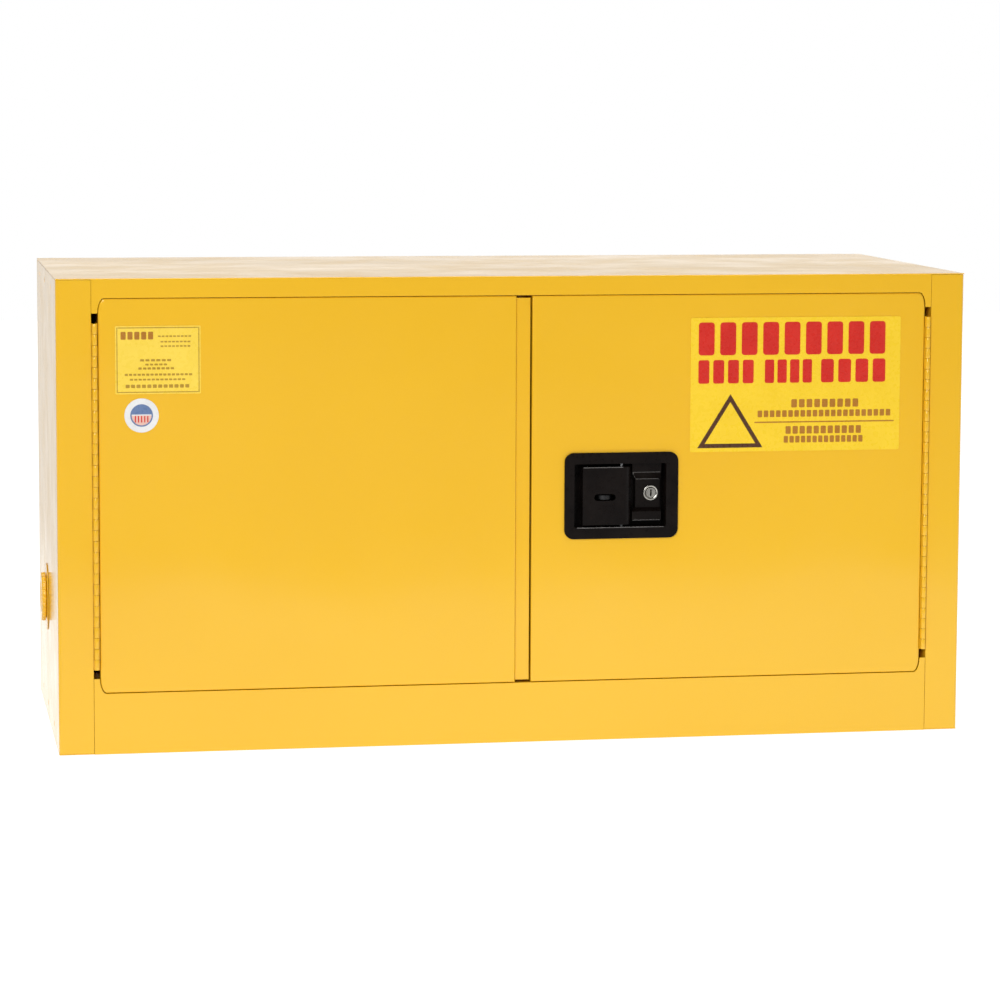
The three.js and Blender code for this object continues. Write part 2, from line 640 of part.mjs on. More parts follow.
// direction is 1 for the rod that runs up and -1 for the one that runs down.
function latchRod(direction) {
  const side = -direction;
  const [pinX, pinZ] = crankPin(direction > 0 ? 180 : 0);
  const rodX = side * HUB_CRANK;
  const tip = direction > 0 ? doorTop - 0.7 : doorBottom + 0.7;
  const tabEnds = [-12 * direction, 27 * direction].sort((a, b) => a - b);
  const tab = block([rodX - 9, rodX + 9], tabDepth, tabEnds);
  const rod = bar('z', circle([rodX, rodDepth], ROD_RADIUS, 16), 26 * direction, tip - HUB_CENTRE[1]);
  const slot = bar('y', rounded([(pinX + rodX) / 2, pinZ], [5.8, 4.6], 2.2, 4), 30, 40);
  return tab.add(rod).subtract(slot);
}

function centreBolt() {
  const [pinX, pinZ] = crankPin(270);
  const height = boltHeight - HUB_CENTRE[1];
  const tip = RIGHT_DOOR_END + TOUCH - HUB_CENTRE[0];
  const slot = bar('y', rounded([pinX, pinZ - 0.5], [4.6, 5.8], 2.2, 4), 30, 40);
  const upright = [height - BOLT_HALF_HEIGHT, height + BOLT_HALF_HEIGHT];
  return block([tip, pinX + 7], BOLT_DEPTHS, upright).subtract(slot);
}

// An angle bracket with its foot on the back of the door's face; direction is 1 above the latch, -1 below.
function rodGuide(direction) {
  const side = -direction;
  const height = direction > 0 ? 494 : 112;
  const [x0, x1] = [side * HUB_CRANK - 14, side * HUB_CRANK + 14];
  const base = height - HUB_CENTRE[1];
  const foot = block([x0, x1], [SHEET + TOUCH, SHEET + TOUCH + 2], [base, base + 26]);
  const arm = block([x0, x1], [SHEET + TOUCH, 38], [base, base + 2]);
  const hole = bar('z', circle([side * HUB_CRANK, rodDepth], 4.5, 16), base - 5, base + 5);
  return foot.add(arm).subtract(hole);
}

function addLatch(parent) {
  const latch = new THREE.Group();
  latch.position.set(HUB_CENTRE[0], 0, HUB_CENTRE[1]);
  parent.add(latch);
  const shank = bar('y', circle([0, 0], 3, 12), TRAY_DEPTH + TRAY_WALL + TOUCH, 31);
  const head = bar('y', circle([0, 0], 5.5, 6), hubPlate[1] + TOUCH, 33);
  addPiece(latch, 'latch_hub', latchHub(), BLACK_STEEL);
  addPiece(latch, 'hub_stud', shank.add(head), ZINC_STEEL);
  addPiece(latch, 'upper_rod', latchRod(1), ZINC_STEEL);
  addPiece(latch, 'lower_rod', latchRod(-1), ZINC_STEEL);
  addPiece(latch, 'centre_bolt', centreBolt(), ZINC_STEEL);
  addPiece(latch, 'upper_rod_guide', rodGuide(1), ZINC_STEEL);
  addPiece(latch, 'lower_rod_guide', rodGuide(-1), ZINC_STEEL);
}

// Vents, each a flanged sleeve through both walls with a bung outside and a flame screen inside

function addVent(parent, sideName, side, height) {
  const vent = new THREE.Group();
  vent.position.set(side * halfWidth, VENT_DEPTH, height);
  vent.rotation.z = side < 0 ? Math.PI / 2 : -Math.PI / 2;
  parent.add(vent);
  const sleeve = revolved([
    [21.6, -42], [25, -42], [25, TOUCH], [41.5, TOUCH], [41.5, 1.4], [40, 2], [21.6, 2], [21.6, -42],
  ], 48);
  const bung = revolved([
    [0, -10], [20.6, -12], [20.6, 2.3], [30, 2.3], [30, 6.4], [28.8, 7.6], [18, 7.6], [16.5, 4.6], [0, 4.6],
  ], 48);
  const screen = revolved([[0, -40], [20.8, -40], [20.8, -38.5], [0, -38.5]], 32);
  addPiece(vent, `${sideName}_vent_sleeve`, sleeve, YELLOW_PAINT);
  addPiece(vent, `${sideName}_vent_bung`, bung, YELLOW_PAINT);
  addPiece(vent, `${sideName}_flame_screen`, screen, BRASS_GAUZE);
}

// The earth point, low on the right side near the back
function addGroundScrew(parent) {
  const shank = bar('x', circle([0, 0], 3, 12), -14, 1);
  const washer = bar('x', circle([0, 0], 8, 20), TOUCH, 1.5);
  const head = bar('x', circle([0, 0], 5.8, 6), 1, 5.3);
  addPiece(parent, 'ground_screw', shank.add(washer).add(head), BRASS_GAUZE, [halfWidth, 420, 60]);
}

const cabinet = new THREE.Group();
cabinet.position.y = frontFaceY;
addOuterShell(cabinet);
addLining(cabinet);
addShelf(cabinet);
addLeftDoor(cabinet);
addRightDoor(cabinet);
addHinge(cabinet, 'left', -1);
addHinge(cabinet, 'right', 1);
addPaddleLatch(cabinet);
addKeyLock(cabinet);
addLatch(cabinet);
addVent(cabinet, 'left', -1, LEFT_VENT_HEIGHT);
addVent(cabinet, 'right', 1, RIGHT_VENT_HEIGHT);
addGroundScrew(cabinet);

const group = new THREE.Group();
group.add(cabinet);

export default group;
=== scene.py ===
"""Looks of the bench-top flammable storage cabinet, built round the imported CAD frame."""

import json
import math

import bmesh
import bpy
from mathutils import Matrix, Vector


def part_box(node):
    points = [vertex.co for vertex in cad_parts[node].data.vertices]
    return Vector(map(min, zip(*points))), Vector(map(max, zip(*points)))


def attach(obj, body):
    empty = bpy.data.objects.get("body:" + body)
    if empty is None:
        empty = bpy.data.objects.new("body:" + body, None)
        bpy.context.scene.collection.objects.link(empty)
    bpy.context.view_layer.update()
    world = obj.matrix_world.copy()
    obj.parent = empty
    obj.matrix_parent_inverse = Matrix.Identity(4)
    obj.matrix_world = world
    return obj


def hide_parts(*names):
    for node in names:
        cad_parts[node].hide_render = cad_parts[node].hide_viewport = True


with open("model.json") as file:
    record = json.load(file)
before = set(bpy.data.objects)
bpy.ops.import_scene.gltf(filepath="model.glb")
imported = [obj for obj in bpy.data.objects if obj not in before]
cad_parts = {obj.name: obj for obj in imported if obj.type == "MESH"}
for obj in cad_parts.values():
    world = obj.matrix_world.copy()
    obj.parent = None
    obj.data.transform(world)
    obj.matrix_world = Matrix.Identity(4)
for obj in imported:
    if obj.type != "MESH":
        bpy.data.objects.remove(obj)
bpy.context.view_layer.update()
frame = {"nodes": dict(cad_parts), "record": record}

MM = 0.001
NODES = frame["nodes"]
CABINET_LOW, CABINET_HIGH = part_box("outer_top_panel")
FRONT = CABINET_LOW.y
HALF_WIDTH = CABINET_HIGH.x

# Camera: turned to the right and tipped down, in degrees; its place in metres; its lens and sensor in mm.
CAMERA_YAW = 10.17
CAMERA_PITCH = 6.01
CAMERA_ROLL = 0.24
CAMERA_PLACE = (-0.750, FRONT - 4.036, 0.796)
CAMERA_LENS = 125.15
CAMERA_SENSOR = 36
CAMERA_SHIFT = (0.002, -0.06)

# Lights: name, place in metres and watts. They are squares, and face a point inside the cabinet.
LIGHTS = (
    ("key", (-1.9, -4.6, 2.4), 145.0),
    ("fill", (3.2, -4.0, 2.0), 8.0),
)
LIGHT_SIZE = 2.6
LIGHT_TARGET = (0, 0, 0.3)

# Studio levels: how bright the sky is in front, to the left, above the horizon and in the box overhead.
FRONT_LEVEL = 0.30
LEFT_LEVEL = 0.78
ABOVE_LEVEL = 0.60
SOFTBOX_LEVEL = 5.0

# Floor: it lies a hair below the cabinet, glows under and behind it, and is plain grey in front. To the left of
# the cabinet the glow falls to a share of itself, between two lines that slant away to the right.
FLOOR_REACH = 7.0
FLOOR_LEVEL = -0.0004
GLOW_STARTS = -1.75
GLOW_IS_FULL = -1.38
LEFT_EDGE_SLANT = 0.038
LEFT_EDGE_FROM = -0.70
LEFT_EDGE_TO = -0.598
LEFT_EDGE_SHARE = 0.56
GLOW_LOW = 0.04
GLOW_FULL = 0.97
GREY_FLOOR = (0.34, 0.34, 0.34, 1)
GLOWING_FLOOR = (0.22, 0.22, 0.22, 1)
WHITE = (1, 1, 1, 1)

# Edges: how far each material's edges are eased, in mm.
EDGE_WIDTHS = {
    "yellow_paint": 0.35,
    "galvanised_steel": 0.3,
    "zinc_steel": 0.3,
    "black_enamel": 0.9,
    "black_steel": 0.3,
    "chrome_lock": 0.3,
    "brass_fittings": 0.3,
}
EDGE_SEGMENTS = 2
SHARP_EDGE = math.radians(40)
SMOOTH_LIMIT = math.radians(32)
WELD_DISTANCE = 2e-6

# Labels: thickness of the film and of the ink, and how much of a row's pitch each block takes.
FILM = 0.30 * MM
INK = 0.05 * MM
FILM_EDGE = 0.08 * MM
BLOCK_SHARE = 0.74
BLOCK_ROUNDING = 0.18

# Round sticker: its picture's radius as a share of its own, and the rest as shares of the picture's radius.
PICTURE_SHARE = 0.60
PICTURE_TALL = 0.98
UPPER_LIFT = 0.10
HALF_STEPS = 24
STRIPE_PITCH = 0.3
STRIPE_DROP = 0.36
STRIPE_SIZE = (0.12, 0.64)
STRIPE_ROUNDING = 0.03
RING_SHARES = (0.96, 1.1)
RING_SIDES = 64

# Piano hinge: the pin's place, the barrel and its knuckles, and the leaves.
PIN_INSET = 44.7 * MM
PIN_PROUD = 1.2 * MM
KNUCKLE_RADIUS = 2.9
KNUCKLE_BORE = 1.8
KNUCKLE_PITCH = 12.7 * MM
KNUCKLE_COUNT = 32
KNUCKLE_GAP = 0.2 * MM
KNUCKLE_SIDES = 28
LEAF_OFFSET = 3.6 * MM
LEAF_SHEET = 1.5 * MM
PLATE_CLEARANCE = 0.4
NECK_CLEARANCE = 0.1
NECK_DEPTHS = (2.0 * MM, 4.6 * MM)

# Vents, in mm.
FLUTE_COUNT = 24
FLUTE_DEPTH = 1.1
FLUTED_BEYOND = 28.5
RIVET_CIRCLE = 34.5
GRIP_HALF_LENGTH = 15.5
GRIP_HALF_WIDTH = 2.6
GRIP_HEIGHTS = (4.0, 7.2)
WIRE_PITCH = 2.1
WIRE_RADIUS = 0.3
WIRE_LAYERS = (-39.5, -39.0)
SCREEN_RADIUS = 20.0

# Handle: how far its tray stands out of the door's face, in mm, and the sides of each round bead that carries a
# painted highlight along its edges.
TRAY_PROUD = 2.5
EDGE_SIDES = 16


# Camera, lights and floor


def add_camera():
    """The eye stands left of the middle, above the top, and looks slightly down and to the right."""
    turn = Matrix.Rotation(-math.radians(CAMERA_YAW), 4, "Z")
    tilt = Matrix.Rotation(math.radians(90 - CAMERA_PITCH), 4, "X")
    roll = Matrix.Rotation(math.radians(CAMERA_ROLL), 4, "Z")
    data = bpy.data.cameras.new("camera")
    data.lens = CAMERA_LENS
    data.sensor_width = CAMERA_SENSOR
    data.shift_x, data.shift_y = CAMERA_SHIFT
    camera = bpy.data.objects.new("camera", data)
    bpy.context.scene.collection.objects.link(camera)
    camera.matrix_world = Matrix.Translation(CAMERA_PLACE) @ turn @ tilt @ roll
    bpy.context.scene.camera = camera
    bpy.context.scene.view_settings.view_transform = "Standard"


def add_area_light(name, location, watts):
    data = bpy.data.lights.new(name, "AREA")
    data.size = LIGHT_SIZE
    data.energy = watts
    light = bpy.data.objects.new(name, data)
    bpy.context.scene.collection.objects.link(light)
    light.location = location
    gaze = Vector(LIGHT_TARGET) - Vector(location)
    light.rotation_euler = gaze.to_track_quat("-Z", "Y").to_euler()


class Graph:
    """A material's or world's node tree, with short calls to add and join nodes."""

    def __init__(self, owner):
        owner.use_nodes = True
        self.tree = owner.node_tree
        self.tree.nodes.clear()

    def add(self, kind, inputs=None, **settings):
        node = self.tree.nodes.new(kind)
        for key, value in settings.items():
            setattr(node, key, value)
        for key, value in (inputs or {}).items():
            if isinstance(value, bpy.types.NodeSocket):
                self.tree.links.new(value, node.inputs[key])
            else:
                node.inputs[key].default_value = value
        return node

    def math(self, operation, first, second):
        return self.add("ShaderNodeMath", {0: first, 1: second}, operation=operation).outputs[0]

    def ramp(self, value, from_low, from_high, to_low, to_high):
        """value mapped smoothly from one range to another."""
        source = {"Value": value, "From Min": from_low, "From Max": from_high}
        inputs = {**source, "To Min": to_low, "To Max": to_high}
        return self.add("ShaderNodeMapRange", inputs, interpolation_type="SMOOTHSTEP").outputs["Result"]

    def mix(self, factor, first, second):
        node = self.add("ShaderNodeMix", data_type="RGBA")
        for key, value in ((0, factor), (6, first), (7, second)):
            if isinstance(value, bpy.types.NodeSocket):
                self.tree.links.new(value, node.inputs[key])
            else:
                node.inputs[key].default_value = value
        return node.outputs[2]

    def noise(self, vector, scale, detail):
        inputs = {"Vector": vector, "Scale": scale, "Detail": detail, "Roughness": 0.5}
        return self.add("ShaderNodeTexNoise", inputs).outputs["Fac"]

    def clouds(self, vector, scale, detail, low, high):
        """Soft patches, from low to high."""
        return self.ramp(self.noise(vector, scale, detail), 0.3, 0.7, low, high)

    def bump(self, height, distance, normal=None):
        inputs = {"Height": height, "Distance": distance, "Strength": 1.0}
        if normal is not None:
            inputs["Normal"] = normal
        return self.add("ShaderNodeBump", inputs).outputs["Normal"]


def add_world():
    """White studio, dimmer in front, to the left and above the horizon, with a soft box overhead."""
    world = bpy.data.worlds.new("studio")
    bpy.context.scene.world = world
    graph = Graph(world)
    direction = graph.add("ShaderNodeTexCoord").outputs["Generated"]
    split = graph.add("ShaderNodeSeparateXYZ", {"Vector": direction})
    front = graph.ramp(split.outputs["Y"], -0.45, -0.05, FRONT_LEVEL, 1.0)
    left = graph.ramp(split.outputs["X"], -0.07, 0.02, LEFT_LEVEL, 1.0)
    above = graph.ramp(split.outputs["Z"], 0.03, 0.10, 1.0, ABOVE_LEVEL)
    softbox = graph.ramp(split.outputs["Z"], 0.94, 0.97, 0.0, SOFTBOX_LEVEL)
    sky = graph.math("MULTIPLY", graph.math("MULTIPLY", front, left), above)
    level = graph.math("ADD", sky, softbox)
    background = graph.add("ShaderNodeBackground", {"Color": WHITE, "Strength": level})
    graph.add("ShaderNodeOutputWorld", {"Surface": background.outputs[0]})


def floor_material():
    """Pale floor that glows white under and behind the cabinet, a little less to the left of it."""
    material = bpy.data.materials.new("pale_floor")
    graph = Graph(material)
    place = graph.add("ShaderNodeTexCoord").outputs["Object"]
    split = graph.add("ShaderNodeSeparateXYZ", {"Vector": place})
    across = split.outputs["X"]
    depth = split.outputs["Y"]
    slant = graph.math("SUBTRACT", across, graph.math("MULTIPLY", depth, LEFT_EDGE_SLANT))
    from_front = graph.ramp(depth, GLOW_STARTS, GLOW_IS_FULL, 0.0, 1.0)
    from_left = graph.ramp(slant, LEFT_EDGE_FROM, LEFT_EDGE_TO, LEFT_EDGE_SHARE, 1.0)
    lit = graph.math("MULTIPLY", from_front, from_left)
    surface = graph.add("ShaderNodeBsdfPrincipled", {
        "Base Color": graph.mix(lit, GREY_FLOOR, GLOWING_FLOOR),
        "Roughness": 0.9,
        "Specular IOR Level": 0.0,
        "Emission Color": WHITE,
        "Emission Strength": graph.ramp(lit, 0.0, 1.0, GLOW_LOW, GLOW_FULL),
    })
    graph.add("ShaderNodeOutputMaterial", {"Surface": surface.outputs[0]})
    return material


def add_floor():
    mesh = bpy.data.meshes.new("floor")
    signs = ((-1, -1), (1, -1), (1, 1), (-1, 1))
    corners = [(x * FLOOR_REACH, y * FLOOR_REACH, FLOOR_LEVEL) for x, y in signs]
    mesh.from_pydata(corners, [], [(0, 1, 2, 3)])
    mesh.materials.append(floor_material())
    floor = bpy.data.objects.new("floor", mesh)
    bpy.context.scene.collection.objects.link(floor)


# Materials


def surface_graph(name):
    """A new material with its node tree and the place on the object that its textures follow."""
    material = bpy.data.materials.new(name)
    graph = Graph(material)
    place = graph.add("ShaderNodeTexCoord").outputs["Object"]
    return material, graph, place


def close_surface(material, graph, inputs):
    shader = graph.add("ShaderNodeBsdfPrincipled", inputs)
    graph.add("ShaderNodeOutputMaterial", {"Surface": shader.outputs[0]})
    return material


def powder_paint():
    """Glossy yellow powder coat: slight colour drift, orange peel, and panels that aren't quite flat."""
    material, graph, place = surface_graph("yellow_powder_coat")
    drift = graph.clouds(place, 2.2, 3.0, 0.0, 1.0)
    colour = graph.mix(drift, (0.865, 0.486, 0.015, 1), (0.895, 0.512, 0.018, 1))
    specks = graph.ramp(graph.noise(place, 950.0, 1.0), 0.66, 0.78, 0.0, 0.35)
    colour = graph.mix(specks, colour, (0.93, 0.56, 0.05, 1))
    rough = graph.clouds(place, 14.0, 4.0, 0.10, 0.16)
    waves = graph.bump(graph.noise(place, 5.0, 1.0), 0.0022)
    peel = graph.bump(graph.noise(place, 330.0, 2.0), 0.00004, waves)
    return close_surface(material, graph, {
        "Base Color": colour,
        "Roughness": rough,
        "Normal": peel,
        "IOR": 1.5,
        "Coat Weight": 0.1,
        "Coat Roughness": 0.06,
        "Coat IOR": 1.6,
        "Coat Normal": waves,
    })


def galvanised_steel():
    """Zinc spangle: flat grey crystals of a few millimetres, each a little lighter or darker."""
    material, graph, place = surface_graph("galvanised_steel")
    cells = graph.add("ShaderNodeTexVoronoi", {"Vector": place, "Scale": 85.0}, feature="F1")
    shade = graph.add("ShaderNodeSeparateXYZ", {"Vector": cells.outputs["Color"]}).outputs["X"]
    colour = graph.mix(shade, (0.44, 0.46, 0.47, 1), (0.66, 0.68, 0.69, 1))
    rough = graph.ramp(shade, 0.0, 1.0, 0.32, 0.52)
    grain = graph.bump(graph.noise(place, 900.0, 3.0), 0.00003)
    return close_surface(material, graph, {
        "Base Color": colour,
        "Roughness": rough,
        "Metallic": 0.9,
        "Normal": grain,
    })


def plated_steel(name, dark, light, rough_low, rough_high):
    """Drawn metal with fine level lines and slightly clouded plating."""
    material, graph, place = surface_graph(name)
    drawn = graph.add("ShaderNodeMapping", {"Vector": place, "Scale": (1.0, 1.0, 14.0)}).outputs[0]
    lines = graph.noise(drawn, 500.0, 3.0)
    cloud = graph.clouds(place, 60.0, 3.0, 0.0, 1.0)
    return close_surface(material, graph, {
        "Base Color": graph.mix(cloud, dark, light),
        "Roughness": graph.ramp(lines, 0.3, 0.7, rough_low, rough_high),
        "Metallic": 1.0,
        "Normal": graph.bump(lines, 0.00002),
    })


def black_enamel():
    """Satin black baked enamel over stamped steel, with a faint grain."""
    material, graph, place = surface_graph("black_enamel")
    cloud = graph.clouds(place, 45.0, 3.0, 0.0, 1.0)
    return close_surface(material, graph, {
        "Base Color": graph.mix(cloud, (0.0040, 0.0024, 0.0020, 1), (0.0068, 0.0044, 0.0036, 1)),
        "Roughness": graph.clouds(place, 160.0, 3.0, 0.26, 0.38),
        "Normal": graph.bump(graph.noise(place, 1100.0, 2.0), 0.00002),
        "Specular IOR Level": 0.12,
    })


def vinyl(name, dark, light):
    """Printed vinyl film with a soft sheen."""
    material, graph, place = surface_graph(name)
    cloud = graph.clouds(place, 30.0, 3.0, 0.0, 1.0)
    return close_surface(material, graph, {
        "Base Color": graph.mix(cloud, dark, light),
        "Roughness": graph.clouds(place, 210.0, 3.0, 0.24, 0.34),
        "Normal": graph.bump(graph.noise(place, 120.0, 2.0), 0.00004),
    })


PAINT = powder_paint()
GALVANISED = galvanised_steel()
ZINC = plated_steel("zinc_plate", (0.50, 0.51, 0.52, 1), (0.62, 0.63, 0.63, 1), 0.28, 0.42)
CHROME = plated_steel("chrome_plate", (0.42, 0.40, 0.36, 1), (0.56, 0.54, 0.49, 1), 0.14, 0.24)
BLACK = black_enamel()
BLACK_OXIDE = plated_steel("black_oxide", (0.02, 0.02, 0.021, 1), (0.04, 0.04, 0.041, 1), 0.36, 0.5)
# Lighter metal for the thin beads along the handle's edges: a painted highlight on those edges.
PAINTED_HIGHLIGHT_EDGE = plated_steel("painted_highlight_edge", (0.15, 0.142, 0.138, 1), (0.22, 0.209, 0.203, 1), 0.24, 0.34)
BRASS = plated_steel("brass", (0.50, 0.36, 0.13, 1), (0.62, 0.46, 0.19, 1), 0.3, 0.42)
LABEL_YELLOW = vinyl("label_yellow", (0.93, 0.62, 0.020, 1), (0.96, 0.65, 0.026, 1))
PALE_YELLOW = vinyl("label_pale_yellow", (0.93, 0.66, 0.065, 1), (0.96, 0.69, 0.080, 1))
INK_RED = vinyl("ink_red", (0.62, 0.018, 0.010, 1), (0.68, 0.024, 0.013, 1))
INK_BROWN = vinyl("ink_brown", (0.42, 0.17, 0.016, 1), (0.46, 0.19, 0.020, 1))
INK_OLIVE = vinyl("ink_olive", (0.44, 0.25, 0.020, 1), (0.48, 0.28, 0.026, 1))
INK_DARK = vinyl("ink_dark", (0.075, 0.026, 0.008, 1), (0.09, 0.032, 0.011, 1))
STICKER_WHITE = vinyl("sticker_white", (0.78, 0.78, 0.78, 1), (0.84, 0.84, 0.83, 1))
STICKER_PINK = vinyl("sticker_pink", (0.80, 0.50, 0.42, 1), (0.84, 0.55, 0.46, 1))
STICKER_BLUE = vinyl("sticker_blue", (0.12, 0.19, 0.36, 1), (0.15, 0.23, 0.42, 1))

SLOT_MATERIALS = {
    "yellow_paint": PAINT,
    "galvanised_steel": GALVANISED,
    "zinc_steel": ZINC,
    "black_enamel": BLACK,
    "black_steel": BLACK_OXIDE,
    "chrome_lock": CHROME,
    "brass_fittings": BRASS,
    "front_label_face": LABEL_YELLOW,
    "white_label_face": PALE_YELLOW,
}


# Dressing the CAD nodes: a material, and edges that are broken as on real sheet metal


def soften(piece, width):
    """Eases every sharp edge of a CAD node by width, with smooth shading over it."""
    weld = piece.modifiers.new("weld", "WELD")
    weld.merge_threshold = WELD_DISTANCE
    bevel = piece.modifiers.new("edges", "BEVEL")
    bevel.width = width
    bevel.segments = EDGE_SEGMENTS
    bevel.limit_method = "ANGLE"
    bevel.angle_limit = SHARP_EDGE
    bevel.use_clamp_overlap = True
    bevel.miter_outer = "MITER_ARC"
    normals = piece.modifiers.new("normals", "WEIGHTED_NORMAL")
    normals.keep_sharp = False
    for face in piece.data.polygons:
        face.use_smooth = True


def dress_nodes():
    for entry in frame["record"]["subparts"]:
        node = NODES[entry["node"]]
        slot = entry["material_slot"]
        node.data.materials.clear()
        node.data.materials.append(SLOT_MATERIALS[slot])
        if slot in EDGE_WIDTHS:
            soften(node, EDGE_WIDTHS[slot] * MM)


# Mesh pieces


def smooth_faces(piece):
    """Smooth shading that keeps edges sharper than the limit."""
    for face in piece.data.polygons:
        face.use_smooth = True
    piece.data.set_sharp_from_angle(angle=SMOOTH_LIMIT)


def finish_piece(name, build, materials, body, replaced=()):
    """Makes an object from the mesh code in build(bm), and ties it to the frame."""
    mesh = bpy.data.meshes.new(name)
    bm = bmesh.new()
    build(bm)
    bmesh.ops.recalc_face_normals(bm, faces=bm.faces)
    bm.to_mesh(mesh)
    bm.free()
    for material in materials:
        mesh.materials.append(material)
    piece = bpy.data.objects.new(name, mesh)
    bpy.context.scene.collection.objects.link(piece)
    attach(piece, body)
    if replaced:
        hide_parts(*replaced)
    return piece


def rounded_outline(centre, size, radius, steps):
    """A rectangle with round corners in the x-z plane, anticlockwise from its right-hand end."""
    centre_x, centre_z = centre
    reach_x = size[0] / 2 - radius
    reach_z = size[1] / 2 - radius
    points = []
    for quarter, (side_x, side_z) in enumerate(((1, 1), (-1, 1), (-1, -1), (1, -1))):
        for step in range(steps + 1):
            angle = math.radians(90 * (quarter + step / steps))
            x = centre_x + side_x * reach_x + radius * math.cos(angle)
            z = centre_z + side_z * reach_z + radius * math.sin(angle)
            points.append((x, z))
    return points


def add_slab(bm, outline, front, back, material=0, edge=0.0):
    """A flat plate in the x-z plane between two depths, its front edge eased by edge."""
    rings = [(back, 0.0), (front + edge, 0.0)]
    if edge:
        rings.append((front, edge))
    count = len(outline)
    centre = Vector((sum(x for x, _ in outline) / count, 0, sum(z for _, z in outline) / count))
    loops = []
    for depth, inset in rings:
        ring = []
        for x, z in outline:
            away = Vector((x, 0, z)) - centre
            place = centre + away * (1 - inset / away.length)
            ring.append(bm.verts.new((place.x, depth, place.z)))
        loops.append(ring)
    faces = [bm.faces.new(loops[0]), bm.faces.new(loops[-1])]
    for low, high in zip(loops, loops[1:]):
        for i in range(count):
            j = (i + 1) % count
            faces.append(bm.faces.new((low[i], low[j], high[j], high[i])))
    for face in faces:
        face.material_index = material


def join_loops(bm, loops, material=0):
    """Walls between each loop and the next, and from the last back to the first."""
    for low, high in zip(loops, loops[1:] + loops[:1]):
        for i in range(len(low)):
            j = (i + 1) % len(low)
            bm.faces.new((low[i], low[j], high[j], high[i])).material_index = material


# Labels: plain colour fields, bars and rings with no lettering


# Rows of plain blocks: left end, foot, width and height as shares of the label, block count, ink.
FRONT_ROWS = (
    (0.037, 0.720, 0.916, 0.245, 9, 1),
    (0.037, 0.510, 0.280, 0.175, 4, 1),
    (0.352, 0.510, 0.240, 0.175, 4, 1),
    (0.620, 0.510, 0.330, 0.175, 4, 1),
    (0.480, 0.325, 0.330, 0.062, 9, 2),
    (0.320, 0.255, 0.643, 0.050, 22, 2),
    (0.305, 0.212, 0.668, 0.010, 1, 2),
    (0.454, 0.128, 0.370, 0.058, 11, 2),
    (0.446, 0.062, 0.385, 0.050, 14, 2),
)
SMALL_ROWS = (
    (0.065, 0.800, 0.400, 0.115, 5, 2),
    (0.500, 0.835, 0.400, 0.022, 9, 1),
    (0.530, 0.755, 0.360, 0.022, 8, 1),
    (0.530, 0.690, 0.360, 0.022, 8, 1),
    (0.290, 0.480, 0.380, 0.032, 6, 1),
    (0.350, 0.420, 0.270, 0.026, 5, 1),
    (0.270, 0.360, 0.430, 0.032, 8, 1),
    (0.110, 0.270, 0.800, 0.030, 16, 1),
    (0.170, 0.200, 0.660, 0.026, 13, 1),
    (0.120, 0.090, 0.760, 0.050, 12, 1),
)

# The triangle's corners as shares of the front label, and the width of its outline.
TRIANGLE = ((0.035, 0.03), (0.345, 0.03), (0.19, 0.43))
TRIANGLE_WIDTH = 5 * MM

# The line round the small label, its distance from the label's edge, and how far short its ends stop.
BORDER_WIDTH = 1.1 * MM
BORDER_INSET = 2.2 * MM
UPRIGHT_SHORT = 3.3 * MM
LEVEL_SHORT = 6 * MM


def add_film(bm, node, corner, steps):
    """The label's own film, over its CAD plate; gives its low corner, middle, size and front face."""
    low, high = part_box(node)
    centre = ((low.x + high.x) / 2, (low.z + high.z) / 2)
    size = (high.x - low.x, high.z - low.z)
    face = high.y - FILM
    add_slab(bm, rounded_outline(centre, size, corner, steps), face, high.y, 0, FILM_EDGE)
    return low, centre, size, face


def add_rows(bm, rows, low, size, face):
    for left, foot, width, height, count, ink in rows:
        pitch = width / count
        share = pitch * BLOCK_SHARE if count > 1 else pitch
        block = (share * size[0], height * size[1])
        for i in range(count):
            centre_x = low.x + (left + i * pitch + share / 2) * size[0]
            centre_z = low.z + (foot + height / 2) * size[1]
            outline = rounded_outline((centre_x, centre_z), block, min(block) * BLOCK_ROUNDING, 3)
            add_slab(bm, outline, face - INK, face - INK / 4, ink)


def add_triangle(bm, corners, width, front, back, material):
    """A flat ring of even width inside a triangle."""
    following = corners[1:] + corners[:1]
    opposite = corners[2:] + corners[:2]
    sides = [(b - a).length for a, b in zip(following, opposite)]
    centre = sum((corner * side for corner, side in zip(corners, sides)), Vector((0, 0))) / sum(sides)
    first, second, third = corners
    across = second - first
    up = third - first
    inradius = abs(across.x * up.y - up.x * across.y) / sum(sides)
    shrink = 1 - width / inradius
    loops = []
    for scale, depth in ((shrink, back), (1, back), (1, front), (shrink, front)):
        spots = [centre + (corner - centre) * scale for corner in corners]
        loops.append([bm.verts.new((spot.x, depth, spot.y)) for spot in spots])
    join_loops(bm, loops, material)


def add_ring(bm, centre, inner, outer, front, back, material):
    angles = [2 * math.pi * i / RING_SIDES for i in range(RING_SIDES)]
    loops = []
    for radius, depth in ((inner, back), (outer, back), (outer, front), (inner, front)):
        loop = []
        for angle in angles:
            x = centre[0] + radius * math.cos(angle)
            z = centre[1] + radius * math.sin(angle)
            loop.append(bm.verts.new((x, depth, z)))
        loops.append(loop)
    join_loops(bm, loops, material)


def front_label(bm):
    low, _, size, face = add_film(bm, "front_label", 2.5 * MM, 6)
    add_rows(bm, FRONT_ROWS, low, size, face)
    corners = [Vector((low.x + x * size[0], low.z + z * size[1])) for x, z in TRIANGLE]
    add_triangle(bm, corners, TRIANGLE_WIDTH, face - INK, face - INK / 4, 3)


